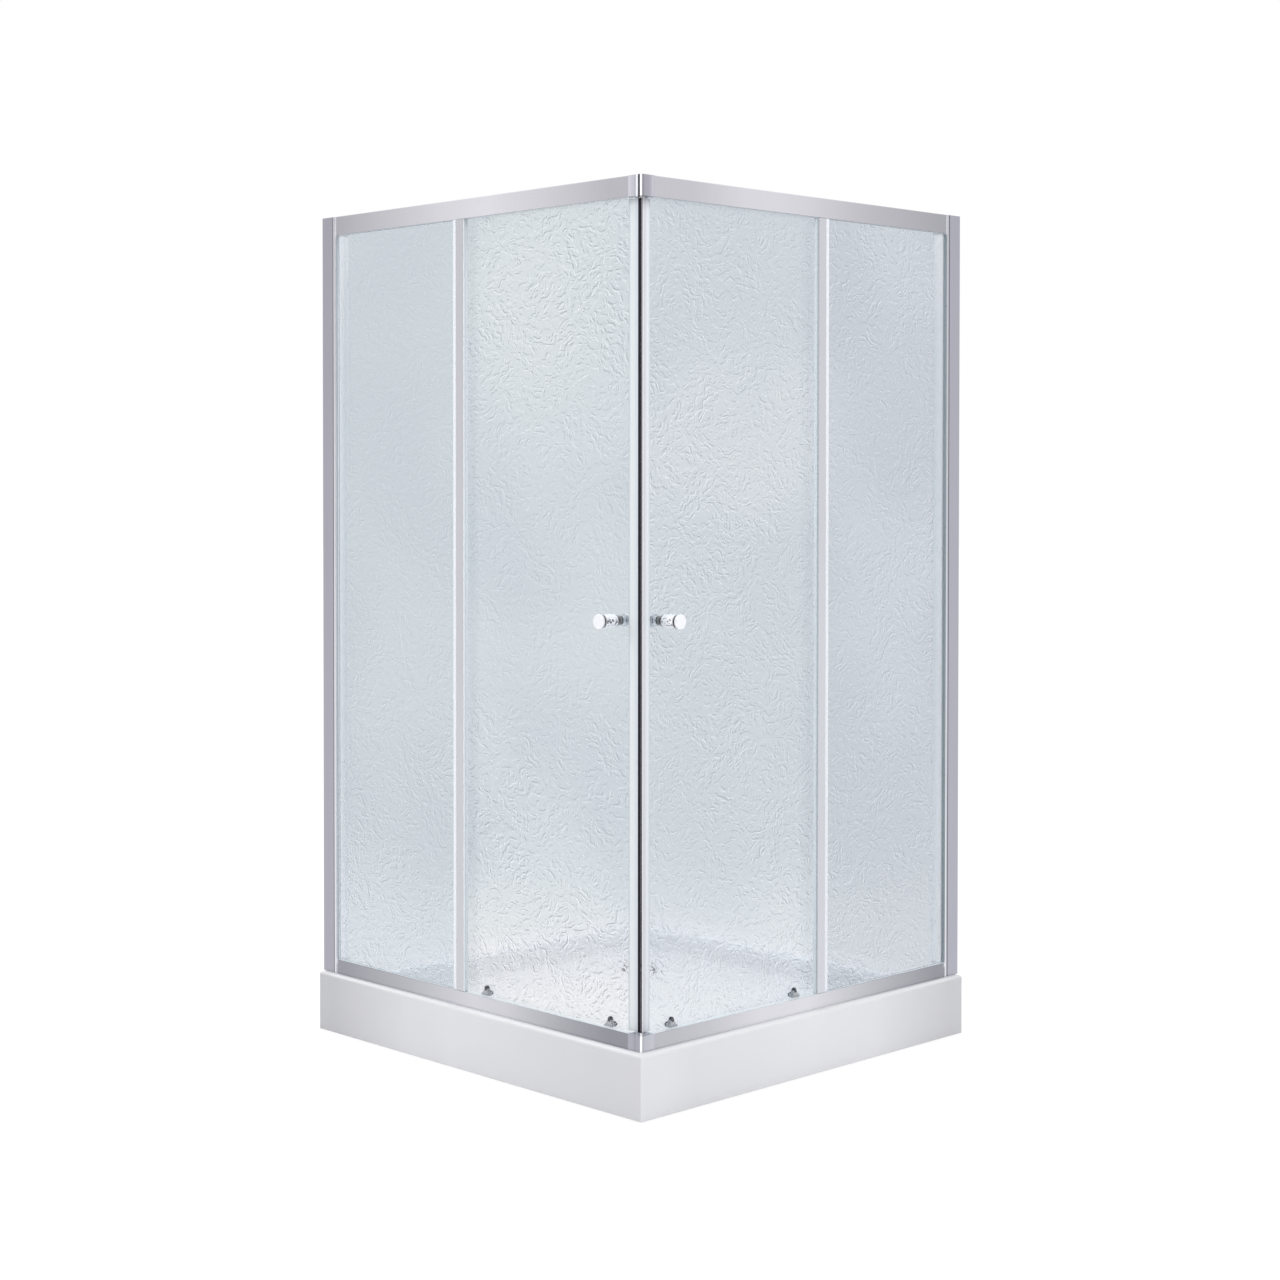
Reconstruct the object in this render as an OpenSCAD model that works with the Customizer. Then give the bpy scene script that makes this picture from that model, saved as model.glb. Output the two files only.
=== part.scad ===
// Square corner-entry shower cabin: a low tray, a framed corner of glass and two sliding doors.
// Z is up. The origin lies on the floor at the tray's centre, under the middle foot.
// The two closed sides of the room are at -X and +Y, so the entry corner is at +X, -Y.
// Side pieces are drawn once in a side frame: u runs from the entry corner to the wall,
// v runs from the tray's edge into the cabin, and z is the height above the floor.

/* [Overall] */
// Length of one side of the square tray
size = 1000; // [940:5:1200]
// Height of the tray's rim above the floor
tray_h = 129; // [115:1:160]
// Height of the glass frame above the rim
frame_h = 1658; // [1500:1:1900]

/* [Tray] */
// Thickness of the moulded tray shell
tray_t = 5; // [4:0.5:7]
// Rounding of the tray's outer edges
tray_edge_r = 10; // [6:1:12]
// Rounding of the tray's upright corners
tray_corner_r = 4; // [2:0.5:6]
// Height of the basin's floor
basin_floor = 75; // [72:1:85]
// Width of the rim under the glass frame
rim_front_w = 62; // [56:1:75]
// Width of the shelf along the two walls
rim_wall_w = 112; // [80:1:130]
// Plan radius of the basin's corners at the rim
basin_r = 80; // [60:1:110]
// Sideways run of the basin's sloping wall
basin_draft = 24; // [16:1:34]
// Rounding where the slope meets the basin's floor
basin_fillet = 12; // [8:1:14]
// Rounding of the basin's edge at the rim
basin_lip = 8; // [6.5:0.5:10]
// Gap between the skirt and the floor
skirt_gap = 2; // [1:0.5:4]
// Height of the lip that the tray has in place of the skirt at the walls
wall_lip = 36; // [25:1:45]
// Length of the skirt's returns at the walls
skirt_return = 45; // [20:5:100]
// Thickness of the wooden board under the basin
board_t = 12; // [9:1:14]
// Outer width of the steel frame's square tubes
bar_w = 25; // [20:1:28]
// Wall of the steel frame's tubes
bar_t = 1.5; // [1.2:0.1:2.5]
// Distance from the tray's edge to the outer bars
bar_y = 170; // [150:5:190]
// Half length of the long bars
bar_half = 440; // [400:5:450]
// Distance from the ends of the long bars to their feet
foot_x = 20; // [12:1:40]
// Radius of the threaded foot rods
foot_rod_r = 5; // [4:0.5:6]
// Radius of the foot pads
foot_pad_r = 25; // [18:1:30]
// Height of the foot pads
foot_pad_h = 10; // [8:1:12]
// Width across the flats of the foot nuts
foot_nut_w = 17; // [16:1:20]
// Height of the foot nuts
foot_nut_h = 8; // [6:1:8]

/* [Drain] */
// Distance from the tray's edges at both walls to the drain
drain_at = 300; // [280:5:320]
// Outer radius of the visible flange
flange_r = 45; // [42:1:50]
// Outer radius of the flange's threaded neck
neck_r = 38; // [34:1:39]
// Wall of the neck and of the dip tube
neck_t = 2.5; // [2:0.1:3]
// Outer radius of the dip tube
dip_r = 30; // [26:1:32]
// Radius of the lift-out cover
cover_r = 32; // [28:1:33]
// Radius of the cover's stem
stem_r = 4; // [3:0.5:5]
// Outer radius of the trap body
trap_r = 55; // [52:1:58]
// Wall of the trap body
trap_t = 2.5; // [2:0.1:3]
// Height of the trap's underside above the floor
trap_z = 12; // [8:1:14]
// Radius of the outlet pipe
outlet_r = 20; // [16:1:20]
// Length of the outlet pipe past the trap body
outlet_len = 45; // [35:1:60]
// Length of the collar at the outlet's root
collar_len = 7; // [5:1:12]

/* [Frame] */
// Distance from the tray's edge to the frame's outer face
inset = 13.5; // [12:0.5:18]
// Depth of the rails, from outside to inside
rail_d = 36; // [35.5:0.5:40]
// Height of the top rail
top_rail_h = 40; // [38:1:45]
// Height of the bottom rail
bottom_rail_h = 30; // [30:1:36]
// Wall of the rails
rail_t = 1.6; // [1.4:0.1:2]
// Width of the rails' pocket for the fixed glass
pocket_w = 10.8; // [10.4:0.2:11.6]
// Depth of that pocket
pocket_deep = 14; // [11:0.5:15]
// Width of the wall profiles
wall_w = 36; // [30:1:45]
// Wall of the wall profiles
wall_t = 2; // [1.5:0.1:2.5]
// Visible width of the jamb profiles
jamb_w = 9; // [7:0.5:12]
// Length of the jamb that slides into the wall profile
jamb_tail = 28; // [22:1:29]
// Wall of the jamb profiles
jamb_t = 1.5; // [1.2:0.1:2]
// Thickness of the gasket between the rails and the jamb
joint_w = 4; // [3:0.5:6]
// Distance from the entry corner to the stile at the fixed glass's free edge
stile_at = 527; // [500:1:560]
// Width of the stile
stile_w = 24; // [21:1:36]
// Width of the white bead beside the stile
bead_w = 11; // [8:1:16]
// Rounding of the corner caps
cap_r = 6; // [4:1:16]
// Length of the caps' tongues inside the rails
tongue = 22; // [16:1:30]
// Radius of the holes for the wall screws
wall_hole_r = 2.6; // [2.2:0.1:3]
// Height of the lowest wall screw above the rim
wall_hole_low = 165; // [120:5:200]
// Distance between neighbouring wall screws
wall_hole_step = 440; // [400:5:445]

/* [Glass] */
// Thickness of the glass
glass_t = 5; // [4:0.5:5]
// Distance from the frame's outer face to the fixed glass
fixed_v = 6; // [5.5:0.1:6]
// Distance from the frame's outer face to the door glass
door_v = 22.4; // [22:0.1:23]
// Distance from the entry corner to the doors' leading glass edge
door_lead = 51; // [51:0.5:54]
// Overlap of the doors past the stile
door_lap = 13; // [10:1:20]
// Travel of the doors
door_travel = 385; // [300:1:385]

/* [Seals] */
// Thickness of the seals' walls
seal_t = 1.2; // [1:0.1:1.4]
// End of the white leading seal on the front and side doors
lead_end = [68, 58]; // [57:0.5:75]
// Thickness of the magnet strip on the front and side doors
magnet_w = [8.6, 2.4]; // [2:0.1:8.8]
// Width of the rear seals
rear_w = 14; // [11:1:18]

/* [Rollers] */
// Distance from the entry corner to the leading rollers
roller_lead = 115; // [100:1:130]
// Distance from the entry corner to the trailing rollers
roller_trail = 475; // [450:1:480]
// Rolling radius of the top wheels
top_wheel_r = 9; // [8:0.1:9.5]
// Rolling radius of the bottom wheels
low_wheel_r = 6; // [5.5:0.1:6.2]
// Height of the wheels' flanges over the rolling radius
flange_h = 1.6; // [1.2:0.1:1.8]
// Width of the wheels
wheel_w = 5.2; // [4.8:0.1:5.2]
// Radius of the top axles
top_axle_r = 3; // [2.5:0.1:3.2]
// Radius of the bottom axles
low_axle_r = 2; // [1.8:0.1:2.4]
// Thickness of the rib that the wheels run on
rib_w = 1.6; // [1.4:0.1:1.8]
// Height of the rib
rib_h = 3; // [2.6:0.1:3.2]
// Offset of the eccentric hub from its axle
hub_offset = 1.5; // [0:0.1:2]
// Height of the bell-shaped holders of the bottom wheels
holder_h = 13; // [12.5:0.5:18]
// Width of a holder at its base
holder_w = 25; // [23:1:36]
// Width of the release button
button_w = 6.4; // [5.8:0.1:7]
// Travel of the release button
button_travel = 4.4; // [4:0.1:4.6]
// Height of the release button over its holder when it is pressed in
button_left = 0.6; // [0.4:0.1:2]

/* [Knobs] */
// Distance from the entry corner to the knob's axis on the front and side doors
knob_at = [95, 86]; // [84:1:110]
// Height of the knobs' axis above the rim
knob_up = 814; // [700:1:950]
// Radius of a knob's face
knob_r = 14.5; // [12:0.5:18]
// Length of an outer knob
knob_len = 57; // [40:1:62]
// Gap between the two inner knobs when the doors are shut
knob_gap = 4; // [2:0.5:8]
// Radius of the stud through the glass
stud_r = 3; // [2.5:0.5:4]

/* [Clearances] */
// Gap between a sliding piece and its guide
slide_gap = 0.3; // [0.2:0.05:0.4]
// Radial gap of an axle in its bore
axle_gap = 0.05; // [0.03:0.01:0.1]
// Gap between a wheel and the rib that it rolls on
roll_gap = 0.1; // [0.05:0.01:0.15]
// Gap around a tongue or a screw
fit_gap = 0.1; // [0.05:0.01:0.2]

/* [Hidden] */

FRONT = 0;
SIDE = 1;
$fn = 48;
eps = 0.01;
cut = 1;
half = size / 2;

// Heights of the frame
rim_z = tray_h;
top_z = rim_z + frame_h;
top_rail_z = top_z - top_rail_h;
low_rail_top = rim_z + bottom_rail_h;

// Places along a side
rail_start = inset + rail_d;
wall_u = size - wall_w;
jamb_u = wall_u - jamb_w;
rail_end = jamb_u - joint_w;
stile_end = stile_at + stile_w;
door_rear = stile_end + door_lap;

// Places across the rails, measured from the frame's outer face
web_v = rail_t + pocket_w;
track_v = web_v + rail_t - 0.2;
rib_v = track_v + 3.2;
wheel_v0 = rib_v - wheel_w / 2;
wheel_v1 = rib_v + wheel_w / 2;
hub_v = wheel_v1 + slide_gap;
ledge_v = wheel_v1;
head_t = 1.2;
head_gap = 0.3;
upstand = 1.5;

// Track heights: the top wheels roll on a rib that points up,
// and the bottom wheels hook up under a rib that points down
ledge_z = 2;
ledge_t = 2;
top_rib_z = top_rail_z + ledge_z + ledge_t + rib_h;
top_axle_z = top_rib_z + top_wheel_r + roll_gap;
shelf_t = 1.6;
shelf_z = low_rail_top - 2 - shelf_t;
low_rib_z = shelf_z - rib_h;
low_axle_z = low_rib_z - low_wheel_r - roll_gap;

// Glass edges
door_low = rim_z + rail_t + 3;
door_high = top_z - rail_t - 5;
gasket_t = 1;
gasket_lip = 0.8;
fixed_low = low_rail_top - pocket_deep + gasket_t;
fixed_high = top_rail_z + pocket_deep - gasket_t;
fixed_lead = stile_at + 6;
fixed_wall = jamb_u + 12;

// Heights of the leading and rear seals, clear of the caps and rails
seal_low = low_rail_top + slide_gap;
seal_high = top_rail_z - gasket_lip - slide_gap;
nose_gap = slide_gap * 0.8;

// Bottom wheel holders and release buttons
holder_z = low_rail_top + 0.5;
holder_top = holder_z + holder_h;
holder_v = web_v + 0.5;
wall_h = 1.4;
spring_z = holder_z + wall_h;
button_up = button_travel + button_left;
button_z = spring_z + button_travel + 3.4;
clamp_z = holder_z + 4;
clamp_t = 2.6;
clamp_r = 2.6;
clamp_step = 6.6;
clamp_plate_r = 4.2;
bell_back = 2.5;
bell_rise = 4;
spring_r = 1.9;
wire_r = 0.3;
spring_turns = 5;

// Door hangers
hanger_at = [roller_lead, roller_trail];
hub_shaft_r = top_axle_r + 3;
hub_r = top_axle_r + 5.5;
hub_cap_r = hub_shaft_r + 4;
hub_cap_t = 5.5;
dome_r = 1.6 * hub_cap_r;
head_r = top_axle_r + 1.6;
low_head_r = low_axle_r + 1.2;
low_hub_r = low_axle_r + 2.2;
head_v = wheel_v0 + head_gap;

// Tray and feet
floor_under = basin_floor - tray_t;
board_z = floor_under - board_t;
bar_z = board_z - bar_w;
bar_at = half - bar_y;
foot_at = [for (x = [foot_x - bar_half, bar_half - foot_x], y = [-bar_at, bar_at]) [x, y]];
feet = concat([[0, 0]], foot_at);
rod_low = foot_pad_h * 0.4;
gasket_h = 2;
trap_top = floor_under - gasket_h;
recess_h = 2.5;
seat_z = basin_floor - recess_h;
rim_t = recess_h + 0.5;
neck_low = trap_top - 9;
dip_low = trap_z + trap_t + 5;
spoke_t = 2.5;
boss_h = 8;
outlet_z = trap_top - outlet_r - 2.5;
screw_r = 2;
knob_z = rim_z + knob_up;
knob_disc_t = 5.8;
knob_inner_len = min(knob_at) - knob_r - (inset + door_v + glass_t) - knob_gap;

// Places a side piece: u along the side, v into the cabin
module on_side(side) {
    translate([half, -half, 0])
        if (side == FRONT) mirror([1, 0, 0]) children();
        else rotate([0, 0, 90]) children();
}

// Extrudes a section drawn in v and z along u
module along_u(u0, u1) {
    translate([u0, inset, 0]) rotate([90, 0, 90]) linear_extrude(u1 - u0) children();
}

// Extrudes a plan drawn in u and v upward
module upright(z0, z1) {
    translate([0, inset, z0]) linear_extrude(z1 - z0) children();
}

// Turns a profile drawn as radius and length about an axis that points from v0 into the cabin
module turned(u, v0, z) {
    translate([u, inset + v0, z]) rotate([-90, 0, 0]) rotate_extrude() children();
}

// A round bar along v
module pin(u, v0, v1, z, r) {
    translate([u, inset + v0, z]) rotate([-90, 0, 0]) cylinder(h = v1 - v0, r = r);
}

module box(u0, u1, v0, v1, z0, z1) {
    translate([u0, inset + v0, z0]) cube([u1 - u0, v1 - v0, z1 - z0]);
}

module area(x0, x1, y0, y1) {
    translate([x0, y0]) square([x1 - x0, y1 - y0]);
}

function arc(cx, cy, r, a0, a1, steps) =
    [for (i = [0 : steps]) let (a = a0 + (a1 - a0) * i / steps) [cx + r * cos(a), cy + r * sin(a)]];

// Sweeps a profile round a rectangle: radius r at the corners, the middle filled from z0 to z1
module pan(x0, x1, y0, y1, r, z0, z1) {
    lx = x1 - x0 - 2 * r;
    ly = y1 - y0 - 2 * r;
    corners = [[x1 - r, y1 - r, 0, ly], [x0 + r, y1 - r, 90, lx],
        [x0 + r, y0 + r, 180, ly], [x1 - r, y0 + r, 270, lx]];
    for (c = corners) translate([c[0], c[1], 0]) rotate([0, 0, c[2]]) {
        rotate_extrude(angle = 90) children();
        rotate([90, 0, 0]) linear_extrude(c[3]) children();
    }
    translate([x0 + r, y0 + r, z0]) cube([lx, ly, z1 - z0]);
}

// Tray

// A block with rounded top edges and tighter upright corners
module tray_block(grow, top) {
    a = half - grow;
    r = tray_edge_r - grow;
    c = max(tray_corner_r - grow, 1);
    low = skirt_gap - 2 * grow;
    intersection() {
        translate([0, 0, low]) linear_extrude(top - low) {
            area(-a, a, c - a, a - c);
            area(c - a, a - c, -a, a);
            for (x = [c - a, a - c], y = [c - a, a - c]) translate([x, y]) circle(r = c);
        }
        translate([0, a, 0]) rotate([90, 0, 0]) linear_extrude(2 * a) crown(a, r, low, top);
        translate([-a, 0, 0]) rotate([90, 0, 90]) linear_extrude(2 * a) crown(a, r, low, top);
    }
}

module crown(a, r, low, top) {
    area(-a, a, low, top - r);
    area(r - a, a - r, low, top);
    for (x = [r - a, a - r]) translate([x, top - r]) circle(r = r);
}

module basin(grow) {
    r = basin_r + grow;
    low = basin_floor - grow;
    high = tray_h - (grow > 0 ? tray_t : 0);
    slope = atan2(tray_h - basin_floor, basin_draft);
    foot = r - (high - low) / tan(slope);
    toe = basin_fillet - grow;
    lip = basin_lip - grow;
    toe_u = foot - toe * tan(slope / 2);
    lip_u = r + lip * tan(slope / 2);
    pan(-half + rim_wall_w - grow, half - rim_front_w + grow, -half + rim_front_w - grow,
        half - rim_wall_w + grow, r, low, high + cut)
        polygon(concat([[0, low]], arc(toe_u, low + toe, toe, -90, slope - 90, 6),
            arc(lip_u, high - lip, lip, 90 + slope, 90, 6), [[lip_u, high + cut], [0, high + cut]]));
}

module tray() {
    color("white") difference() {
        tray_block(0, tray_h);
        basin(0);
        difference() {
            tray_block(tray_t, tray_h - tray_t);
            basin(tray_t);
        }
        for (side = [FRONT, SIDE]) on_side(side)
            translate([size - tray_t, skirt_return, -cut])
                cube([tray_t + cut, size, tray_h - wall_lip + cut]);
        at_drain(seat_z) cylinder(h = tray_h, r = flange_r + 1);
        at_drain(0) cylinder(h = tray_h, r = neck_r + fit_gap);
    }
}

board_x0 = -half + rim_wall_w + basin_draft;
board_x1 = half - rim_front_w - basin_draft;

module tray_board() {
    color("burlywood") difference() {
        translate([board_x0, -board_x1, board_z])
            cube([board_x1 - board_x0, board_x1 - board_x0, board_t]);
        at_drain(board_z - cut) cylinder(h = board_t + 2 * cut, r = trap_r + 8);
        at_drain(board_z - cut) translate([-half, -outlet_r - 5, 0])
            cube([half, 2 * outlet_r + 10, board_t + 2 * cut]);
    }
}

module tube(length) {
    rotate([90, 0, 90]) linear_extrude(length) difference() {
        area(-bar_w / 2, bar_w / 2, 0, bar_w);
        area(bar_t - bar_w / 2, bar_w / 2 - bar_t, bar_t, bar_w - bar_t);
    }
}

module tray_frame() {
    color("dimgray") difference() {
        union() {
            for (y = [-bar_at, 0, bar_at]) translate([-bar_half, y, bar_z]) tube(2 * bar_half);
            for (x = [0, bar_at], y = [-bar_at, 0])
                translate([x, y + bar_w / 2 - eps, bar_z]) rotate([0, 0, 90])
                    tube(bar_at - bar_w + 2 * eps);
        }
        for (p = feet) translate([p[0], p[1], bar_z - cut])
            cylinder(h = bar_w + 2 * cut, r = foot_rod_r + fit_gap);
    }
}

module foot_rods() {
    color("silver") for (p = feet) translate([p[0], p[1], 0]) {
        translate([0, 0, rod_low]) cylinder(h = board_z - rod_low, r = foot_rod_r);
        translate([0, 0, bar_z - foot_nut_h]) difference() {
            cylinder(h = foot_nut_h, d = foot_nut_w / cos(30), $fn = 6);
            translate([0, 0, -cut]) cylinder(h = foot_nut_h + 2 * cut, r = foot_rod_r + fit_gap);
        }
    }
}

module foot_pads() {
    color("black") for (p = feet) translate([p[0], p[1], 0]) difference() {
        rotate_extrude() polygon([[0, 0], [foot_pad_r, 0], [foot_pad_r, foot_pad_h * 0.3],
            [foot_rod_r + 5, foot_pad_h], [0, foot_pad_h]]);
        translate([0, 0, rod_low]) cylinder(h = foot_pad_h, r = foot_rod_r);
    }
}

// Drain

module at_drain(z) {
    translate([drain_at - half, half - drain_at, z]) children();
}

module drain_flange() {
    color("gainsboro") at_drain(0) {
        rotate_extrude() polygon([[dip_r - neck_t, dip_low], [dip_r, dip_low], [dip_r, neck_low],
            [neck_r, neck_low], [neck_r, seat_z], [flange_r, seat_z], [flange_r, seat_z + rim_t],
            [flange_r - 3, seat_z + rim_t], [neck_r - neck_t + 2, seat_z + 1.5],
            [neck_r - neck_t, seat_z - 1],
            [neck_r - neck_t, neck_low + neck_t], [dip_r - neck_t, neck_low + neck_t]]);
        translate([0, 0, neck_low]) difference() {
            union() {
                for (a = [0, 60, 120]) rotate([0, 0, a])
                    translate([-dip_r + neck_t / 2, -spoke_t / 2, 0])
                        cube([2 * dip_r - neck_t, spoke_t, boss_h - 2]);
                cylinder(h = boss_h, r = stem_r + spoke_t);
            }
            translate([0, 0, -cut]) cylinder(h = boss_h + 2 * cut, r = stem_r + axle_gap);
        }
    }
}

module drain_cover() {
    shoulder = neck_low + boss_h;
    edge = seat_z + 2.5;
    dome = 3.5 * cover_r;
    rise = acos(cover_r / dome);
    color("gainsboro") at_drain(0) rotate_extrude()
        polygon(concat([[0, neck_low + 1], [stem_r, neck_low + 1], [stem_r, shoulder],
            [stem_r + spoke_t, shoulder], [stem_r + spoke_t, seat_z], [cover_r, seat_z]],
            arc(0, edge - dome * sin(rise), dome, rise, 90, 8)));
}

module drain_gasket() {
    color("black") at_drain(trap_top) rotate_extrude()
        area(neck_r + fit_gap, trap_r - 3, 0, gasket_h);
}

module drain_trap() {
    inside = trap_z + trap_t;
    color("white") at_drain(0) difference() {
        union() {
            translate([0, 0, trap_z]) cylinder(h = trap_top - trap_z, r = trap_r);
            translate([0, 0, outlet_z]) rotate([0, -90, 0])
                cylinder(h = trap_r + outlet_len, r = outlet_r);
            translate([0, 0, outlet_z]) rotate([0, -90, 0])
                cylinder(h = trap_r + collar_len, r = outlet_r + trap_t);
        }
        translate([0, 0, inside]) cylinder(h = trap_top - trap_t - inside, r = trap_r - trap_t);
        translate([0, 0, inside]) cylinder(h = trap_top, r = neck_r + fit_gap);
        translate([0, 0, outlet_z]) rotate([0, -90, 0])
            cylinder(h = trap_r + outlet_len + cut, r = outlet_r - trap_t);
    }
}

// Frame

module top_rail_section() {
    translate([0, top_rail_z]) difference() {
        union() {
            area(0, rail_d, 0, top_rail_h - 2);
            area(2, rail_d, 0, top_rail_h);
            translate([2, top_rail_h - 2]) circle(r = 2);
        }
        area(rail_t, web_v, -cut, pocket_deep);
        area(rail_t, web_v, pocket_deep + rail_t, top_rail_h - rail_t);
        area(track_v, rail_d - rail_t, ledge_z + ledge_t, top_rail_h - rail_t);
        area(track_v, ledge_v, -cut, ledge_z);
        area(ledge_v, rail_d - rail_t, -cut, top_rail_h - rail_t);
        area(rail_d - rail_t - cut, rail_d + cut, -cut, top_rail_h * 0.55);
    }
    area(rib_v - rib_w / 2, rib_v + rib_w / 2, top_rib_z - rib_h - eps, top_rib_z);
}

module bottom_rail_section() {
    translate([0, rim_z]) difference() {
        area(0, rail_d, 0, bottom_rail_h);
        area(rail_t, web_v, bottom_rail_h - pocket_deep, bottom_rail_h + cut);
        area(rail_t, web_v, rail_t, bottom_rail_h - pocket_deep - rail_t);
        area(track_v, rail_d - rail_t, rail_t, shelf_z - rim_z);
        area(track_v, ledge_v + eps, shelf_z - rim_z + shelf_t, bottom_rail_h + cut);
        area(ledge_v, rail_d - rail_t, rail_t, bottom_rail_h + cut);
        area(rail_d - rail_t - cut, rail_d + cut, rail_t + upstand, bottom_rail_h + cut);
    }
    area(rib_v - rib_w / 2, rib_v + rib_w / 2, low_rib_z, shelf_z + eps);
}

module corner_screw_hole(top) {
    z = top ? top_z : rim_z;
    translate([rail_start + tongue / 2, inset + (rail_t + web_v) / 2, z])
        mirror([0, 0, top ? 1 : 0]) {
            translate([0, 0, -eps]) cylinder(h = rail_t + 2 * eps, r1 = 2 * screw_r, r2 = screw_r + fit_gap);
            cylinder(h = 12, r = screw_r + fit_gap);
        }
}

module top_rail(side) {
    color("silver") on_side(side) difference() {
        along_u(rail_start, rail_end) top_rail_section();
        corner_screw_hole(true);
    }
}

module bottom_rail(side) {
    color("silver") on_side(side) difference() {
        along_u(rail_start, rail_end) bottom_rail_section();
        corner_screw_hole(false);
    }
}

module wall_profile(side) {
    color("silver") on_side(side) difference() {
        upright(rim_z, top_z) difference() {
            area(wall_u, size, 0, rail_d);
            area(wall_u - cut, size - wall_t, wall_t, rail_d - wall_t);
        }
        for (i = [0 : 3])
            translate([size - wall_t - cut, inset + rail_d / 2,
                rim_z + wall_hole_low + i * wall_hole_step])
                rotate([0, 90, 0]) cylinder(h = wall_t + 2 * cut, r = wall_hole_r);
        jamb_screw_holes();
    }
}

jamb_screw_u = wall_u + 12;
jamb_screw_z = [for (i = [0 : 2]) rim_z + frame_h * (0.1 + 0.4 * i)];

module jamb_screw_holes() {
    for (z = jamb_screw_z) pin(jamb_screw_u, rail_d - 8, rail_d + cut, z, screw_r + fit_gap);
}

module jamb_profile(side) {
    tail_v0 = wall_t + fit_gap;
    tail_v1 = rail_d - wall_t - fit_gap;
    r = 3;
    color("gainsboro") on_side(side) difference() {
        upright(rim_z, top_z) difference() {
            union() {
                area(jamb_u, wall_u - fit_gap, r, rail_d);
                area(jamb_u + r, wall_u - fit_gap - r, 0, rail_d);
                translate([jamb_u + r, r]) circle(r = r);
                translate([wall_u - fit_gap - r, r]) circle(r = r);
                area(wall_u - fit_gap - eps, wall_u + jamb_tail, tail_v0, tail_v1);
            }
            area(jamb_u - cut, fixed_wall, fixed_v, fixed_v + glass_t);
            area(fixed_wall + jamb_t, wall_u + jamb_tail + cut, tail_v0 + jamb_t, web_v - jamb_t);
            area(jamb_u + jamb_t, wall_u + jamb_tail + cut, web_v, tail_v1 - jamb_t);
        }
        jamb_screw_holes();
    }
}

module gasket(side) {
    color("dimgray") on_side(side) {
        upright(rim_z, top_z) difference() {
            area(rail_end, jamb_u, 0.6, rail_d - 0.6);
            area(rail_end - cut, jamb_u + cut, fixed_v, fixed_v + glass_t);
        }
        along_u(stile_at, rail_end + eps) gasket_section();
        along_u(rail_start, stile_at + eps) {
            area(rail_t, web_v, low_rail_top - 3, low_rail_top);
            area(rail_t, web_v, top_rail_z - gasket_lip, top_rail_z + 3);
        }
    }
}

module gasket_section() {
    difference() {
        union() {
            area(rail_t, web_v, low_rail_top - pocket_deep, low_rail_top + gasket_lip);
            area(rail_t, web_v, top_rail_z - gasket_lip, top_rail_z + pocket_deep);
        }
        area(fixed_v, fixed_v + glass_t, fixed_low, fixed_high);
    }
}

module fixed_glass(side) {
    color("lightblue", 0.4) on_side(side)
        box(fixed_lead, fixed_wall, fixed_v, fixed_v + glass_t, fixed_low, fixed_high);
}

stile_low = low_rail_top + gasket_lip;
stile_high = top_rail_z - gasket_lip;

module stile(side) {
    r = 1.5;
    color("silver") on_side(side) upright(stile_low, stile_high) difference() {
        union() {
            area(stile_at, stile_end, r, web_v);
            area(stile_at + r, stile_end - r, 0, web_v);
            translate([stile_at + r, r]) circle(r = r);
            translate([stile_end - r, r]) circle(r = r);
        }
        area(fixed_lead, stile_end + cut, fixed_v, fixed_v + glass_t);
        area(stile_at + rail_t, stile_end - rail_t, rail_t, fixed_v - 1);
    }
}

// A white bead on the outer face of the glass, and a fin that the door's rear seal meets
module stile_seals() {
    fin_u = stile_end + 0.1;
    color("white") for (side = [FRONT, SIDE]) on_side(side) {
        upright(stile_low, stile_high) {
            area(stile_end, stile_end + bead_w, 3, fixed_v);
            area(stile_end, stile_end + bead_w - 2, 1.5, fixed_v);
        }
        upright(holder_top + button_up + 4, seal_high) {
            area(fin_u - 11, fin_u, web_v, web_v + seal_t);
            area(fin_u - seal_t, fin_u, web_v, door_v - 2 * slide_gap);
        }
    }
}

// Caps

module cap_plan() {
    translate([inset, inset]) {
        area(cap_r, rail_d, 0, rail_d);
        area(0, rail_d, cap_r, rail_d);
        translate([cap_r, cap_r]) circle(r = cap_r, $fn = 64);
    }
}

module cap_tongues(z0, z1) {
    for (side = [FRONT, SIDE]) on_side(side)
        box(rail_start - eps, rail_start + tongue, rail_t + fit_gap, web_v - fit_gap,
            z0 + fit_gap, z1 - fit_gap);
}

module corner_cap_top() {
    color("silver") difference() {
        union() {
            on_side(FRONT) translate([0, 0, top_rail_z]) linear_extrude(top_rail_h) cap_plan();
            cap_tongues(top_rail_z + pocket_deep + rail_t, top_z - rail_t);
        }
        on_side(FRONT) corner_screw_bore(true);
        on_side(SIDE) corner_screw_bore(true);
    }
}

module corner_cap_bottom() {
    color("silver") difference() {
        union() {
            on_side(FRONT) translate([0, 0, rim_z]) linear_extrude(bottom_rail_h) cap_plan();
            cap_tongues(rim_z + rail_t, low_rail_top - pocket_deep - rail_t);
        }
        on_side(FRONT) corner_screw_bore(false);
        on_side(SIDE) corner_screw_bore(false);
    }
}

module corner_screw_bore(top) {
    z = top ? top_z : rim_z;
    translate([rail_start + tongue / 2, inset + (rail_t + web_v) / 2, z])
        mirror([0, 0, top ? 1 : 0]) cylinder(h = 12, r = screw_r);
}

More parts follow.
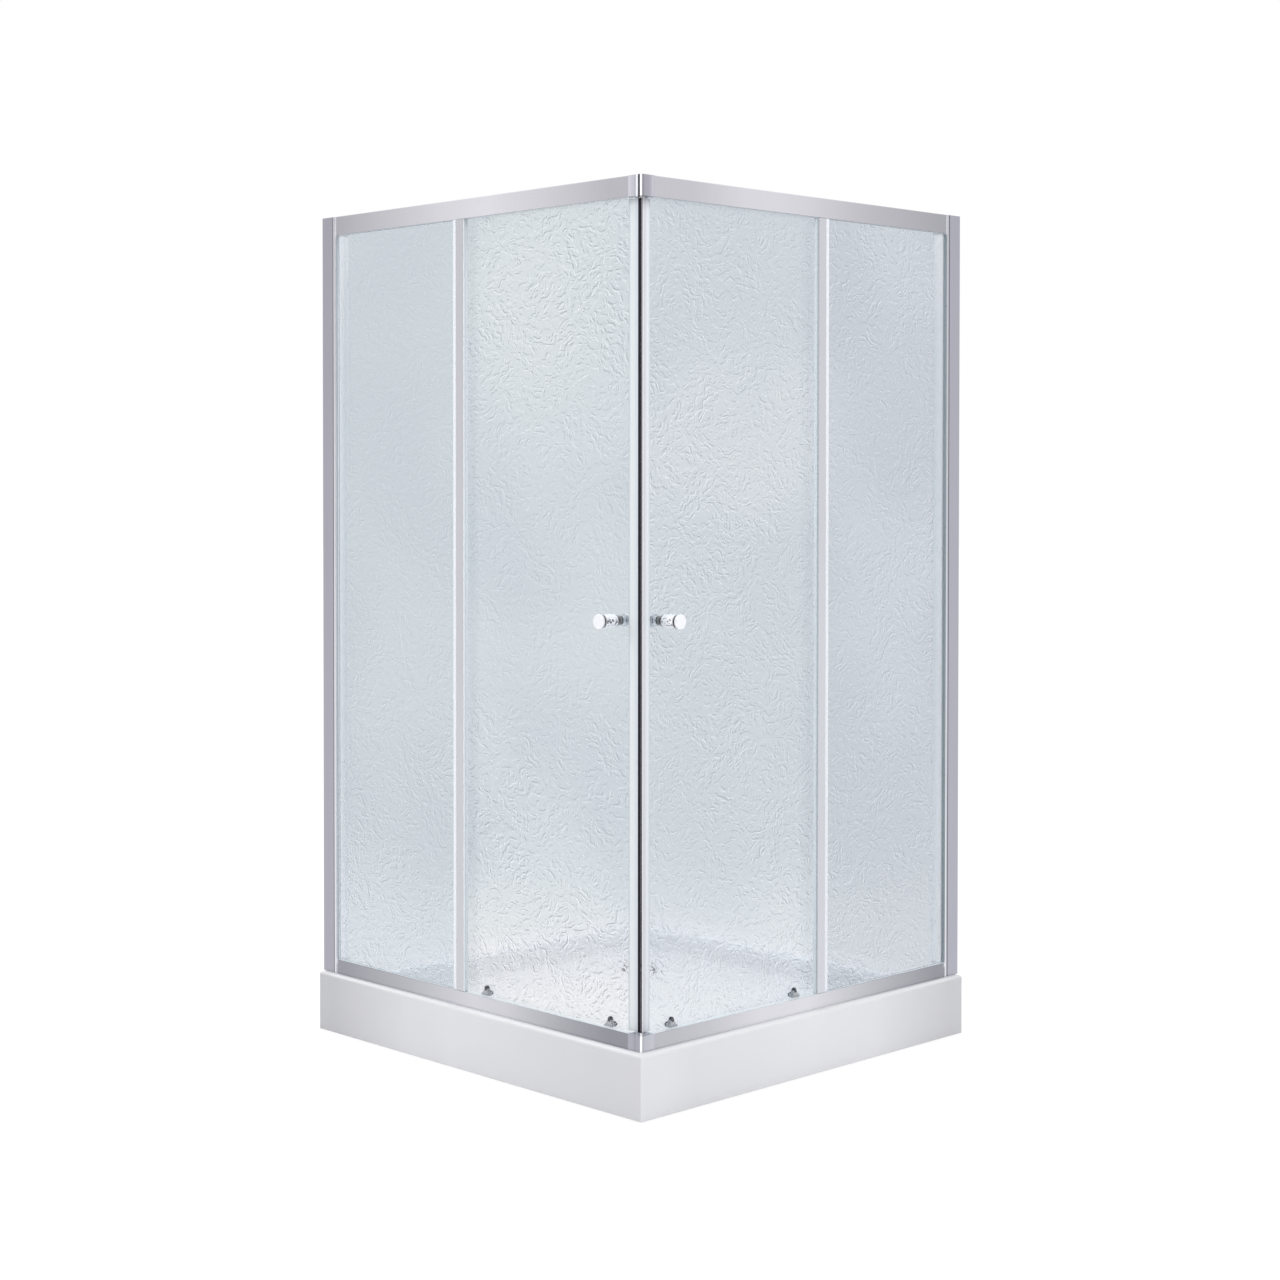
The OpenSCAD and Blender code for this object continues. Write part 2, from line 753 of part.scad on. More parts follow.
module frame_screws() {
    color("gray") for (side = [FRONT, SIDE]) on_side(side) {
        for (top = [true, false])
            translate([rail_start + tongue / 2, inset + (rail_t + web_v) / 2, top ? top_z : rim_z])
                mirror([0, 0, top ? 1 : 0]) {
                    cylinder(h = rail_t, r1 = 2 * screw_r, r2 = screw_r);
                    cylinder(h = 11, r = screw_r);
                }
        for (z = jamb_screw_z) {
            pin(jamb_screw_u, rail_d - 7, rail_d + eps, z, screw_r);
            turned(jamb_screw_u, rail_d, z)
                polygon(concat([[0, 0], [3.6, 0], [3.6, 0.8]], arc(0, -2.6, 4.96, 43, 90, 5)));
        }
    }
}

module door_stops() {
    lead = roller_lead - top_wheel_r - flange_h - slide_gap;
    trail = roller_trail + door_travel + top_wheel_r + flange_h + slide_gap;
    z = top_rib_z - rib_h;
    color("black") for (side = [FRONT, SIDE], u = [lead - 10, trail]) on_side(side) difference() {
        box(u, u + 10, track_v + fit_gap, ledge_v - fit_gap, z, z + 12);
        box(u - cut, u + 10 + cut, rib_v - rib_w / 2, rib_v + rib_w / 2, z - cut, top_rib_z);
    }
}

// Doors

module door_glass(side) {
    color("lightblue", 0.4) on_side(side) difference() {
        box(door_lead, door_rear, door_v, door_v + glass_t, door_low, door_high);
        for (u = hanger_at) {
            pin(u + hub_offset, door_v - cut, door_v + glass_t + cut, top_axle_z, hub_shaft_r + fit_gap);
            for (s = [-clamp_step, clamp_step])
                pin(u + s, door_v - cut, door_v + glass_t + cut, clamp_z, clamp_r + fit_gap);
        }
        pin(knob_at[side], door_v - cut, door_v + glass_t + cut, knob_z, stud_r + 2);
    }
}

// The leading edge is cut along the diagonal, where the two doors' magnets meet
function nose(v, w) = v + nose_gap + w;

module nose_plan(w0, w1) {
    v0 = door_v - seal_t;
    v1 = door_v + glass_t + seal_t;
    polygon([[nose(inset + v0, w0), v0], [w1, v0], [w1, v1], [nose(inset + v1, w0), v1]]);
}

module door_lead_seal(side) {
    color("white") on_side(side) upright(seal_low, seal_high) difference() {
        nose_plan(magnet_w[side], lead_end[side]);
        area(door_lead, lead_end[side] + cut, door_v, door_v + glass_t);
    }
}

module door_magnet(side) {
    v0 = door_v - seal_t;
    v1 = door_v + glass_t + seal_t;
    w = magnet_w[side];
    color("black") on_side(side) upright(seal_low, seal_high)
        polygon([[nose(inset + v0, 0), v0], [nose(inset + v0, w), v0],
            [nose(inset + v1, w), v1], [nose(inset + v1, 0), v1]]);
}

module door_rear_seal(side) {
    u0 = door_rear + seal_t - rear_w;
    color("white") on_side(side) {
        upright(seal_low, seal_high) difference() {
            area(u0, door_rear + seal_t, door_v - seal_t, door_v + glass_t + seal_t);
            area(u0 - cut, door_rear, door_v, door_v + glass_t);
        }
        upright(holder_top + button_up + 4, seal_high)
            area(u0, u0 + seal_t, web_v + 3 * slide_gap, door_v - seal_t + eps);
    }
}

// Half outline of a knob: foot, neck, barrel, groove and face disc
function knob_outline(l) = let (
    foot = knob_r * 0.66, neck = knob_r * 0.42, barrel = knob_r * 0.9, groove = knob_r * 0.64,
    disc_z = l - knob_disc_t, barrel_z = disc_z - min(4, l * 0.08), low = min(12, l * 0.3)) concat(
    [[0, 0], [foot - 0.8, 0], [foot, 0.8], [foot, 2.6], [neck, 4], [neck, low]],
    arc(barrel - 2, low + 2, 2, -90, 0, 5),
    [[barrel + 0.5, (low + barrel_z) / 2]],
    arc(barrel - 2, barrel_z - 2, 2, 0, 90, 5),
    [[groove, barrel_z], [groove, disc_z]],
    arc(knob_r - 1.2, disc_z + 1.2, 1.2, -90, 0, 4),
    arc(knob_r - 1.5, l - 1.5, 1.5, 0, 80, 4),
    [[0, l]]);

module knob_outer(side) {
    color("gainsboro") on_side(side) {
        translate([knob_at[side], inset + door_v, knob_z]) rotate([90, 0, 0])
            rotate_extrude() polygon(knob_outline(knob_len));
        pin(knob_at[side], door_v - 1, door_v + glass_t + 12, knob_z, stud_r);
    }
}

module knob_inner(side) {
    color("gainsboro") on_side(side) difference() {
        translate([knob_at[side], inset + door_v + glass_t, knob_z]) rotate([-90, 0, 0])
            rotate_extrude() polygon(knob_outline(knob_inner_len));
        pin(knob_at[side], door_v, door_v + glass_t + 13, knob_z, stud_r);
    }
}

// Each hanger is an eccentric hub, a headed axle and a dome nut on the room side
module door_hangers(side) {
    nut_v = door_v + glass_t;
    color("silver") on_side(side) for (u = hanger_at) {
        difference() {
            union() {
                pin(u, hub_v, door_v, top_axle_z, hub_r);
                pin(u + hub_offset, door_v - eps, nut_v - fit_gap, top_axle_z, hub_shaft_r);
            }
            pin(u, hub_v - cut, nut_v + cut, top_axle_z, top_axle_r + axle_gap);
        }
        pin(u, head_v, head_v + head_t, top_axle_z, head_r);
        pin(u, head_v, nut_v + 2, top_axle_z, top_axle_r);
        difference() {
            turned(u + hub_offset, nut_v, top_axle_z)
                polygon(concat([[0, 0], [hub_cap_r, 0], [hub_cap_r, 2]],
                    arc(0, hub_cap_t - dome_r, dome_r, acos(hub_cap_r / dome_r), 90, 6)));
            pin(u, nut_v - cut, nut_v + 2 + fit_gap, top_axle_z, top_axle_r + axle_gap);
        }
    }
}

// A grooved wheel with a sunk seat for the axle's head
module wheel(side, u, z, r, bore, seat) {
    w = wheel_w;
    deep = head_gap + head_t + slide_gap;
    groove = rib_w / 2 + 0.2;
    edge = r + flange_h;
    color("white") on_side(side) turned(u, wheel_v0, z) polygon([
        [bore, w], [bore, deep], [seat, deep], [seat, 0], [edge - 0.5, 0], [edge, 0.5],
        [edge, w / 2 - groove - 0.4], [r, w / 2 - groove], [r, w / 2 + groove],
        [edge, w / 2 + groove + 0.4], [edge, w - 0.5], [edge - 0.5, w]]);
}

module top_wheel(side, u) {
    wheel(side, u, top_axle_z, top_wheel_r, top_axle_r + axle_gap, head_r + slide_gap);
}

module low_wheel(side, u) {
    wheel(side, u, low_axle_z, low_wheel_r, low_axle_r + axle_gap, low_head_r + slide_gap);
}

// Half width of the bell at a share t of its height
function bell(t) = button_w / 2 + wall_h + (holder_w / 2 - button_w / 2 - wall_h) * pow(1 - t, 1.8);

module bell_plan(shrink) {
    n = 10;
    side_points = [for (i = [0 : n]) [bell(i / n) - shrink, holder_h * i / n]];
    polygon(concat(side_points, [for (i = [n : -1 : 0]) [-side_points[i][0], side_points[i][1]]]));
}

module door_holders(side) {
    cell_w = button_w / 2 + slide_gap;
    color("silver") on_side(side) for (u = hanger_at) {
        difference() {
            translate([u, inset + door_v, holder_z]) rotate([90, 0, 0])
                linear_extrude(door_v - holder_v) bell_plan(0);
            along_u(u - holder_w, u + holder_w) polygon([[holder_v, holder_z + bell_rise],
                [holder_v + bell_back, holder_top], [holder_v + bell_back, holder_top + cut],
                [holder_v - cut, holder_top + cut], [holder_v - cut, holder_z + bell_rise]]);
            box(u - cell_w, u + cell_w, holder_v + wall_h, door_v + cut, spring_z, holder_top + cut);
            box(u - cell_w, u + cell_w, hub_v - slide_gap, door_v + cut, holder_z - cut, holder_top + cut);
        }
        for (s = [-clamp_step, clamp_step])
            pin(u + s, door_v - eps, door_v + glass_t - fit_gap, clamp_z, clamp_r);
        translate([u, inset + door_v + glass_t, clamp_z]) rotate([-90, 0, 0]) linear_extrude(clamp_t) {
            area(-clamp_step, clamp_step, -clamp_plate_r, clamp_plate_r);
            for (s = [-clamp_step, clamp_step]) translate([s, 0]) circle(r = clamp_plate_r);
        }
    }
}

module release(side, u) {
    v1 = door_v - slide_gap;
    color("dimgray") on_side(side) {
        pin(u, hub_v, v1, low_axle_z, low_hub_r);
        box(u - button_w / 2, u + button_w / 2, hub_v, v1, low_axle_z, button_z + eps);
        box(u - button_w / 2, u + button_w / 2, holder_v + wall_h + slide_gap, v1,
            button_z, holder_top + button_up - 2);
        box(u - button_w / 2 + 1, u + button_w / 2 - 1, holder_v + wall_h + slide_gap + 1, v1 - 1,
            button_z, holder_top + button_up);
        pin(u, head_v, hub_v + eps, low_axle_z, low_axle_r);
        pin(u, head_v, head_v + head_t, low_axle_z, low_head_r);
    }
}

// The return spring stands on the holder's floor and pushes the button up
module spring(side, u) {
    n = 12;
    m = 6;
    steps = n * spring_turns;
    low = spring_z + wire_r;
    rise = button_z - wire_r - low;
    points = [for (i = [0 : steps], j = [0 : m - 1]) let (
        a = 360 * i / n, b = 360 * j / m, q = spring_r + wire_r * cos(b))
        [q * cos(a), q * sin(a), low + rise * i / steps + wire_r * sin(b)]];
    faces = concat([[for (j = [0 : m - 1]) j]], [[for (j = [m - 1 : -1 : 0]) steps * m + j]],
        [for (i = [0 : steps - 1], j = [0 : m - 1]) let (k = (j + 1) % m)
            [i * m + j, (i + 1) * m + j, (i + 1) * m + k, i * m + k]]);
    color("gray") on_side(side) translate([u, inset + (holder_v + wall_h + hub_v) / 2, 0])
        polyhedron(points, faces);
}

tray();
tray_board();
tray_frame();
foot_rods();
foot_pads();
drain_flange();
drain_cover();
drain_gasket();
drain_trap();
corner_cap_top();
corner_cap_bottom();
frame_screws();
door_stops();
stile_seals();
wall_profile(FRONT);  // front_wall_profile
jamb_profile(FRONT);  // front_jamb_profile
top_rail(FRONT);  // front_top_rail
bottom_rail(FRONT);  // front_bottom_rail
fixed_glass(FRONT);  // front_fixed_glass
gasket(FRONT);  // front_gasket
stile(FRONT);  // front_stile
wall_profile(SIDE);  // side_wall_profile
jamb_profile(SIDE);  // side_jamb_profile
top_rail(SIDE);  // side_top_rail
bottom_rail(SIDE);  // side_bottom_rail
fixed_glass(SIDE);  // side_fixed_glass
gasket(SIDE);  // side_gasket
stile(SIDE);  // side_stile
door_glass(FRONT);  // front_door_glass
door_lead_seal(FRONT);  // front_door_lead_seal
door_magnet(FRONT);  // front_door_magnet
door_rear_seal(FRONT);  // front_door_rear_seal
knob_outer(FRONT);  // front_door_knob_outer
knob_inner(FRONT);  // front_door_knob_inner
door_hangers(FRONT);  // front_door_hangers
door_holders(FRONT);  // front_door_holders
release(FRONT, roller_lead);  // front_release_lead
release(FRONT, roller_trail);  // front_release_trail
spring(FRONT, roller_lead);  // front_spring_lead
spring(FRONT, roller_trail);  // front_spring_trail
top_wheel(FRONT, roller_lead);  // front_top_wheel_lead
top_wheel(FRONT, roller_trail);  // front_top_wheel_trail
low_wheel(FRONT, roller_lead);  // front_low_wheel_lead
low_wheel(FRONT, roller_trail);  // front_low_wheel_trail
door_glass(SIDE);  // side_door_glass
door_lead_seal(SIDE);  // side_door_lead_seal
door_magnet(SIDE);  // side_door_magnet
door_rear_seal(SIDE);  // side_door_rear_seal
knob_outer(SIDE);  // side_door_knob_outer
knob_inner(SIDE);  // side_door_knob_inner
door_hangers(SIDE);  // side_door_hangers
door_holders(SIDE);  // side_door_holders
release(SIDE, roller_lead);  // side_release_lead
release(SIDE, roller_trail);  // side_release_trail
spring(SIDE, roller_lead);  // side_spring_lead
spring(SIDE, roller_trail);  // side_spring_trail
top_wheel(SIDE, roller_lead);  // side_top_wheel_lead
top_wheel(SIDE, roller_trail);  // side_top_wheel_trail
low_wheel(SIDE, roller_lead);  // side_low_wheel_lead
low_wheel(SIDE, roller_trail);  // side_low_wheel_trail
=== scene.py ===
import math

import bmesh
import bpy
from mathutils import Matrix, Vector


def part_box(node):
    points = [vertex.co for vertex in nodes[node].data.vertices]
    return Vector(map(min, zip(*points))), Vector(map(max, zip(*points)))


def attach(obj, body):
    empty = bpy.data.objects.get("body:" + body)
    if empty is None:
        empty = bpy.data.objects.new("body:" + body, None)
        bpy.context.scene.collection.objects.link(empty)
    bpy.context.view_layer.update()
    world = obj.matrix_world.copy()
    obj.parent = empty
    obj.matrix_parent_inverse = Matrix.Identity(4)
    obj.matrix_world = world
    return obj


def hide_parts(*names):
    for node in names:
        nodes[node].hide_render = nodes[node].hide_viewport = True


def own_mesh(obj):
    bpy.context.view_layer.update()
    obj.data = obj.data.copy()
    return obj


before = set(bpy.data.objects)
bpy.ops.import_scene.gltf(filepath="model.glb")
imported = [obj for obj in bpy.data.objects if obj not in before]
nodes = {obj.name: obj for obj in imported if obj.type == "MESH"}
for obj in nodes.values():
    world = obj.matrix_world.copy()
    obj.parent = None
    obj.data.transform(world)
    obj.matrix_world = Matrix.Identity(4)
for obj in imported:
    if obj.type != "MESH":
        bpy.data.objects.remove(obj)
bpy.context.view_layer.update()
scene = bpy.context.scene
scene.view_settings.view_transform = "Standard"
SIDES = ("front", "side")

# Places that the finishes refer to, in metres
HALF = 0.5  # from the tray's centre to its edges
FACE = 0.4865  # from the tray's centre to the frame's outer faces
GLASS_BACK = 0.0108  # from the frame's outer face to just before the back of the fixed glass
DOOR_FACE = 0.0224  # from the frame's outer face to the door glass
DRAIN = (-0.2, 0.2)
RIM_Z = 0.129
KNOB_Z = 0.9425
KNOB_LENGTH = 0.057


# Small helpers for node trees


def linear(r, g, b):
    """A colour given as 0 to 255 sRGB values, as the shader's linear RGBA."""
    out = []
    for c in (r, g, b):
        c /= 255
        out.append(c / 12.92 if c <= 0.04045 else ((c + 0.055) / 1.055) ** 2.4)
    return (*out, 1)


class Graph:
    """Builds a material's or the world's node tree with short calls."""

    def __init__(self, tree):
        self.tree = tree
        tree.nodes.clear()

    def put(self, kind, props=None, **inputs):
        """A node with its properties and inputs set. An underscore in an input's name stands for a space."""
        node = self.tree.nodes.new(kind)
        for key, value in (props or {}).items():
            setattr(node, key, value)
        for key, value in inputs.items():
            self.feed(node, key.replace("_", " "), value)
        return node

    def feed(self, node, key, value):
        """Links a socket to an input, found by name or number, or sets the input to a plain value."""
        socket = node.inputs[int(key)] if key.isdigit() else node.inputs[key]
        if isinstance(value, bpy.types.NodeSocket):
            self.tree.links.new(value, socket)
        else:
            socket.default_value = value

    def math(self, op, a, b=0.0):
        node = self.tree.nodes.new("ShaderNodeMath")
        node.operation = op
        self.feed(node, "0", a)
        self.feed(node, "1", b)
        return node.outputs[0]

    def vector(self, op, *values):
        """A vector operation. LENGTH and DISTANCE give a number, the others a vector."""
        node = self.tree.nodes.new("ShaderNodeVectorMath")
        node.operation = op
        for i, value in enumerate(values):
            self.feed(node, str(i), value)
        return node.outputs["Value" if op in ("LENGTH", "DISTANCE") else "Vector"]

    def ramp(self, fac, stops, mode="LINEAR"):
        """A colour ramp. Each stop is a position with a colour or a grey level."""
        node = self.tree.nodes.new("ShaderNodeValToRGB")
        node.color_ramp.interpolation = mode
        points = node.color_ramp.elements
        for i, (at, colour) in enumerate(stops):
            point = points[i] if i < 2 else points.new(at)
            point.position = at
            point.color = colour if hasattr(colour, "__len__") else (colour,) * 3 + (1,)
        self.feed(node, "Fac", fac)
        return node.outputs[0]

    def span(self, value, a, b, lo=0.0, hi=1.0, smooth=True):
        """Goes from lo to hi as the value goes from a to b, and stays there outside."""
        node = self.tree.nodes.new("ShaderNodeMapRange")
        node.interpolation_type = "SMOOTHSTEP" if smooth else "LINEAR"
        for key, v in zip(("Value", "From Min", "From Max", "To Min", "To Max"), (value, a, b, lo, hi)):
            self.feed(node, key, v)
        return node.outputs[0]

    def mix(self, fac, a, b):
        """Colour a where fac is 0, colour b where it is 1."""
        node = self.tree.nodes.new("ShaderNodeMix")
        node.data_type = "RGBA"
        self.feed(node, "0", fac)
        self.feed(node, "6", a)
        self.feed(node, "7", b)
        return node.outputs[2]

    def shaders(self, fac, a, b):
        """Shader a where fac is 0, shader b where it is 1."""
        node = self.put("ShaderNodeMixShader", Fac=fac)
        self.tree.links.new(a, node.inputs[1])
        self.tree.links.new(b, node.inputs[2])
        return node.outputs[0]

    def noise(self, vector, scale, detail=2.0, rough=0.5):
        return self.put("ShaderNodeTexNoise", Vector=vector, Scale=scale, Detail=detail, Roughness=rough).outputs[0]

    def place(self, scale=(1, 1, 1), offset=(0, 0, 0)):
        """Object coordinates, which move with the piece, stretched by scale."""
        coord = self.tree.nodes.new("ShaderNodeTexCoord")
        node = self.put("ShaderNodeMapping")
        node.inputs["Scale"].default_value = scale
        node.inputs["Location"].default_value = offset
        self.tree.links.new(coord.outputs["Object"], node.inputs["Vector"])
        return node.outputs[0]

    def bump(self, height, strength, distance):
        return self.put("ShaderNodeBump", Strength=strength, Distance=distance, Height=height).outputs[0]


def surface(name):
    """A new material with its node graph and its output node."""
    mat = bpy.data.materials.new(name)
    mat.use_nodes = True
    graph = Graph(mat.node_tree)
    out = graph.put("ShaderNodeOutputMaterial")
    return mat, graph, out


def principled(name, base, metallic=0.0, roughness=0.4, spread=0.04, grain=(60, 60, 60),
               bump=0.0, coat=0.0, tone=None, deep=(0, 0, 0, 1), paint=None, specular=0.5):
    """A solid finish: base colour with slow variation, fine grain in roughness and bump.

    An optional ramp darkens it towards the deep colour by place, as painted shade and painted reflection; paint puts
    other colours on some of its faces, painted light among them, and metallic may be a function where such faces
    differ."""
    mat, g, out = surface(name)
    low = g.noise(g.place(), 3.0, 3)
    fine = g.noise(g.place(grain), 1.0, 3, 0.6)
    dark = tuple(c * (1 - spread) for c in base[:3]) + (1,)
    light = tuple(min(1, c * (1 + spread)) for c in base[:3]) + (1,)
    colour = g.ramp(low, [(0.3, dark), (0.7, light)])
    if tone:
        colour = g.mix(tone(g), deep, colour)
    if paint:
        colour = paint(g, colour)
    if callable(metallic):
        metallic = metallic(g)
    rough = g.span(fine, 0.3, 0.7, roughness * 0.88, roughness * 1.12, False)
    shader = g.put("ShaderNodeBsdfPrincipled", Base_Color=colour, Metallic=metallic, Roughness=rough)
    shader.inputs["Coat Weight"].default_value = coat
    shader.inputs["Coat Roughness"].default_value = 0.08
    shader.inputs["Specular IOR Level"].default_value = specular
    if bump:
        g.feed(shader, "Normal", g.bump(fine, 0.35, bump))
    g.feed(out, "Surface", shader.outputs[0])
    return mat


# Finishes

BACKDROP = (0.76, 0.785, 0.80, 1)  # the studio as it shows through the glass
WHITE = (1, 1, 1, 1)
GLASS_IOR = 1.45
HAZE = 0.27  # share of the glass that scatters what lies behind it
# Grain of each finish: how often its fine noise repeats per metre along x, y and z
BRUSHED_UP = (420, 420, 5)
BRUSHED_LEVEL = (6, 6, 420)
POLISHED = (30, 30, 30)


def lengthwise(*stops):
    """Painted shade and painted reflection along a side, as brightness by the distance from the entry corner in
    metres.
    """
    def tone(g):
        return g.ramp(g.math("MAXIMUM", along(g, "front"), along(g, "side")), stops)
    return tone


def split(g, vector=None):
    """The three components of a vector, or of the place on the piece."""
    node = g.put("ShaderNodeSeparateXYZ", Vector=g.place() if vector is None else vector)
    return node.outputs


def along(g, side):
    """Distance from the entry corner along a side, in metres."""
    x, y = split(g)[0:2]
    return g.math("SUBTRACT", HALF, x) if side == "front" else g.math("ADD", y, HALF)


def inward(g, side):
    """Distance from the frame's outer face into the cabin, in metres."""
    x, y = split(g)[0:2]
    return g.math("ADD", y, FACE) if side == "front" else g.math("SUBTRACT", FACE, x)


def facing(g):
    """The three components of the surface's direction."""
    return split(g, g.put("ShaderNodeNewGeometry").outputs["True Normal"])


def skirt(g):
    """Painted shade on the tray: its skirt is painted darker along both sides and towards the ends, its upright faces
    darker than its rim, and its basin dimmer than its rim.
    """
    normal = facing(g)
    side = g.span(g.math("ABSOLUTE", normal[0]), 0.3, 0.8)
    front = lengthwise((0.1, 0.72), (0.3, 0.76), (0.55, 0.82), (0.7, 0.78), (0.95, 0.58))(g)
    right = lengthwise((0.05, 0.85), (0.15, 0.82), (0.5, 0.90), (0.7, 0.89), (0.95, 0.70))(g)
    level = g.math("ABSOLUTE", normal[2])
    x, y, z = split(g)
    outside = g.math("GREATER_THAN", g.math("MAXIMUM", g.math("ABSOLUTE", x), g.math("ABSOLUTE", y)), FACE)
    shaded = g.span(level, 0.3, 0.75, g.span(side, 0.0, 1.0, front, right, False), 0.86)
    slope = g.span(side, 0.0, 1.0, 0.79, 0.87, False)
    floor = g.span(level, 0.5, 0.9, slope, 0.865)
    lip = g.span(z, RIM_Z - 0.017, RIM_Z - 0.003, floor, 0.97)
    inside = g.span(z, RIM_Z - 0.0006, RIM_Z - 0.0002, lip, 0.87)
    return g.span(outside, 0.0, 1.0, inside, shaded)


def entry_face(g, side):
    """1 on a piece's upright faces that look along the side towards the entry corner."""
    normal = facing(g)
    return g.math("GREATER_THAN", normal[0], 0.7) if side == "front" else g.math("LESS_THAN", normal[1], -0.7)


def gasket_glint(side):
    """1 where the gasket covers the jamb's side behind the glass, which shines like the jamb."""
    return lambda g: g.math("MULTIPLY", entry_face(g, side), g.math("GREATER_THAN", inward(g, side), GLASS_BACK))


def gasket_paint(side):
    """A gasket is a dark joint line outside. Behind the glass it is painted bright, painted light over its shade, and
    its ends are painted paler beside the rails, painted light over the shade line there.

    The front one is as pale as the glass on the inner part of its face towards the entry corner."""
    def paint(g, colour):
        z = split(g)[2]
        if side == "front":
            deep = g.math("MULTIPLY", entry_face(g, side), g.math("GREATER_THAN", inward(g, side), 0.0038))
            colour = g.mix(deep, colour, linear(216, 224, 229))
        # painted light: bright where the gasket lies behind the glass
        out = g.mix(gasket_glint(side)(g), colour, linear(240, 244, 247))
        # painted light: the ends are paler beside the bottom and top rails, over the shade line there
        lip = g.math("MULTIPLY", g.math("LESS_THAN", z, 0.1605), g.math("GREATER_THAN", z, 0.15))
        out = g.mix(lip, out, linear(206, 211, 215))
        return g.mix(g.math("GREATER_THAN", z, 1.7445), out, linear(196, 200, 206))
    return paint


def inner_face(side):
    """1 on the bottom rail's faces behind its outer wall."""
    return lambda g: g.math("GREATER_THAN", inward(g, side), 0.0035)


def seal_paint(side):
    """Painted light and shade on the leading seal, in bands: its root by the magnet is painted dimmer, the side one's
    edge carries a painted highlight, and its lip on the glass is painted in the glass's colour.
    """
    stops = {"front": ((0.0, (201, 207, 214)), (0.44, (209, 214, 219)), (0.50, (214, 219, 221)),
                       (0.84, (191, 198, 203))),
             "side": ((0.0, (223, 222, 226)), (0.14, (198, 199, 205)), (0.30, (206, 210, 214)),
                      (0.385, (214, 218, 223)), (0.557, (193, 200, 204)))}[side]

    def paint(g, colour):
        place = g.span(along(g, side), 0.035, 0.070, 0.0, 1.0, False)
        return g.ramp(place, [(at, linear(*rgb)) for at, rgb in stops], "CONSTANT")
    return paint


def stile_paint(side):
    """Painted highlight and shade: the stile's return is painted with fine light and dim lines beside its broad face,
    light nearest the entry on the front and dark on the side.
    """
    near, middle, far = ((linear(228, 232, 236), linear(202, 208, 211), linear(212, 219, 223)),
                         (linear(172, 176, 181), linear(205, 210, 214), linear(212, 217, 221)))[side == "side"]
    cuts = (0.0038, 0.0068) if side == "front" else (0.0042, 0.0050)

    def paint(g, colour):
        v = inward(g, side)
        lines = g.mix(g.math("GREATER_THAN", v, cuts[0]), near, middle)
        lines = g.mix(g.math("GREATER_THAN", v, cuts[1]), lines, far)
        return g.mix(entry_face(g, side), colour, lines)
    return paint


def from_corner(g):
    """Distance from the entry corner's upright edge across the corner, in metres, minus to the front."""
    x, y = split(g)[0:2]
    return g.math("ADD", x, y)


def corner_lines(stops):
    """Painted reflections: bright and dark lines of a polished corner, by the distance from it in mm, minus to the
    front.
    """
    reach = 40

    def paint(g, colour):
        across = g.span(from_corner(g), -reach / 1000, reach / 1000, 0.0, 1.0, False)
        return g.ramp(across, [((at + reach) / (2 * reach), linear(*rgb)) for at, rgb in stops])
    return paint


def bright_lines(g):
    """Metallic everywhere but in the corner's painted bright and dark reflection lines."""
    middle, half_width = -0.0058, 0.0084
    return g.math("GREATER_THAN", g.math("ABSOLUTE", g.math("SUBTRACT", from_corner(g), middle)), half_width)


def knob_paint(side):
    """Painted reflections and shade: dark rings at a knob's neck, shoulder and groove, and small dark streaks of
    reflection on its bright barrel.
    """
    reflection_greys = ((0, 165), (4, 150), (5, 100), (11.5, 115), (12.5, 64), (14.5, 80), (16, 240), (44, 246), (46.5, 150),
             (48, 66), (51, 76), (52, 150), (53.5, 236))

    def paint(g, colour):
        out = g.math("SUBTRACT", DOOR_FACE, inward(g, side))
        # painted reflections and shade: grey levels along the knob, and dark streaks on its barrel
        rings = g.ramp(g.span(out, 0.0, KNOB_LENGTH, 0.0, 1.0, False),
                       [(mm / 1000 / KNOB_LENGTH, linear(c, c + 1, c + 5)) for mm, c in reflection_greys])
        dark_reflections = g.span(g.noise(g.place((1, 1, 1.6)), 190.0, 1), 0.54, 0.60)
        level = g.span(g.math("ABSOLUTE", g.math("SUBTRACT", split(g)[2], KNOB_Z)), 0.004, 0.010, 1.0, 0.0)
        barrel = g.math("MULTIPLY", g.math("GREATER_THAN", out, 0.017), g.math("LESS_THAN", out, 0.045))
        shown = g.math("MULTIPLY", g.math("MULTIPLY", dark_reflections, level), barrel)
        return g.mix(shown, rings, linear(92, 94, 100))
    return paint


def dished(g, colour):
    """Painted shade: the drain's ring is painted dark around its cover, where it falls into shade."""
    away = g.vector("LENGTH", g.place((1, 1, 0), (-DRAIN[0], -DRAIN[1], 0)))
    return g.mix(g.span(away, 0.0425, 0.041), colour, linear(60, 63, 68))


def button_paint(g, colour):
    """Dark where the button shows in its holder, pale inside the cabin's rail."""
    return g.mix(g.math("GREATER_THAN", split(g)[2], 0.1665), linear(176, 180, 186), colour)


def front_jamb_paint(g, colour):
    """Painted highlight: the front jamb's narrow side face is painted bright, most of all at the top."""
    bright = g.mix(g.span(split(g)[2], 0.2, 1.5), linear(214, 217, 223), linear(253, 254, 255))
    return g.mix(entry_face(g, "front"), colour, bright)


def side_jamb_paint(g, colour):
    """Painted highlight: the side jamb is painted bright where its edge meets the gasket."""
    return g.mix(g.math("LESS_THAN", split(g)[1], 0.4578), colour, linear(234, 235, 240))


def holder_paint(side):
    """A roller holder is pale on the inner side of the door glass."""
    def paint(g, colour):
        return g.mix(g.math("GREATER_THAN", inward(g, side), 0.0225), colour, linear(222, 225, 229))
    return paint


def all_but(mask):
    """Metallic wherever the mask is 0."""
    return lambda g: g.math("SUBTRACT", 1.0, mask(g))


def pale_where(mask):
    """Painted light: as pale as the basin wherever the mask is 1, in place of the shade there."""
    return lambda g, colour: g.mix(mask(g), colour, linear(222, 227, 230))


def shifted(g, vector, amount, scale=1.0):
    """The vector moved by scale times the amount."""
    return g.vector("MULTIPLY_ADD", amount, (scale,) * 3, vector)


